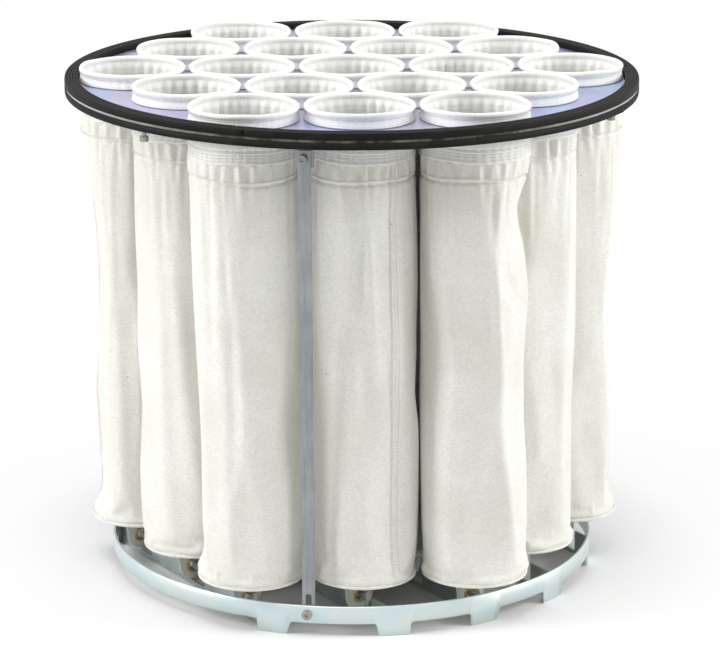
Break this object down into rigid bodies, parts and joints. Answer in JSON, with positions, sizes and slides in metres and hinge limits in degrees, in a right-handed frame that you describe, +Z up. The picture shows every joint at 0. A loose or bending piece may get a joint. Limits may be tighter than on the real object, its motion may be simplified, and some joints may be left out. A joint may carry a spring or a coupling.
{
  "type": "bag filter cartridge",
  "caption": "Round tube sheet with rubber gaskets carrying felt filter bags, each hooked by a tab to cross bars in a support ring tied on by slotted straps.",
  "frame": {"origin": "on the floor at the centre of the support ring", "axes": "+Z up through the tube sheet, -Y towards the front, +X to the right"},
  "size_m": [0.68, 0.68, 0.612],
  "materials": {
    "zinc_sheet": "iridescent zinc plating, satin",
    "rubber": "matt",
    "felt": "needled felt",
    "cuff_fabric": "woven, with fine grey threads",
    "brass": "dull",
    "fastener_steel": "zinc plated",
    "zinc_steel": "zinc plated, satin"
  },
  "bodies": {
    "lower_frame": {"support_ring": "zinc_steel", "cross_bar_1": "zinc_steel", "cross_bar_2": "zinc_steel", "cross_bar_3": "zinc_steel", "cross_bar_4": "zinc_steel", "cross_bar_5": "zinc_steel", "hanging_tabs": "felt", "tab_eyelets": "brass", "strap_screws": "fastener_steel", "strap_nuts": "fastener_steel"},
    "bag_head": {"tube_sheet": "zinc_sheet", "upper_gasket": "rubber", "lower_gasket": "rubber", "bag_cuffs": "cuff_fabric", "filter_bag_01": "felt", "filter_bag_02": "felt", "filter_bag_03": "felt", "filter_bag_04": "felt", "filter_bag_05": "felt", "filter_bag_06": "felt", "filter_bag_07": "felt", "filter_bag_08": "felt", "filter_bag_09": "felt", "filter_bag_10": "felt", "filter_bag_11": "felt", "filter_bag_12": "felt", "filter_bag_13": "felt", "filter_bag_14": "felt", "filter_bag_15": "felt", "filter_bag_16": "felt", "filter_bag_17": "felt", "filter_bag_18": "felt", "filter_bag_19": "felt", "strap_1": "zinc_steel", "strap_2": "zinc_steel", "strap_3": "zinc_steel", "strap_brackets": "zinc_steel", "bracket_screws": "fastener_steel", "bracket_nuts": "fastener_steel", "hanging_screws": "fastener_steel", "hanging_nuts": "fastener_steel"}
  },
  "joints": [
    {"name": "strap_slide", "type": "slide", "parent": "lower_frame", "child": "bag_head", "axis": [0, 0, 1], "range_m": [-0.015, 0], "deforming": ["filter_bag_01", "filter_bag_02", "filter_bag_03", "filter_bag_04", "filter_bag_05", "filter_bag_06", "filter_bag_07", "filter_bag_08", "filter_bag_09", "filter_bag_10", "filter_bag_11", "filter_bag_12", "filter_bag_13", "filter_bag_14", "filter_bag_15", "filter_bag_16", "filter_bag_17", "filter_bag_18", "filter_bag_19"]}
  ]
}
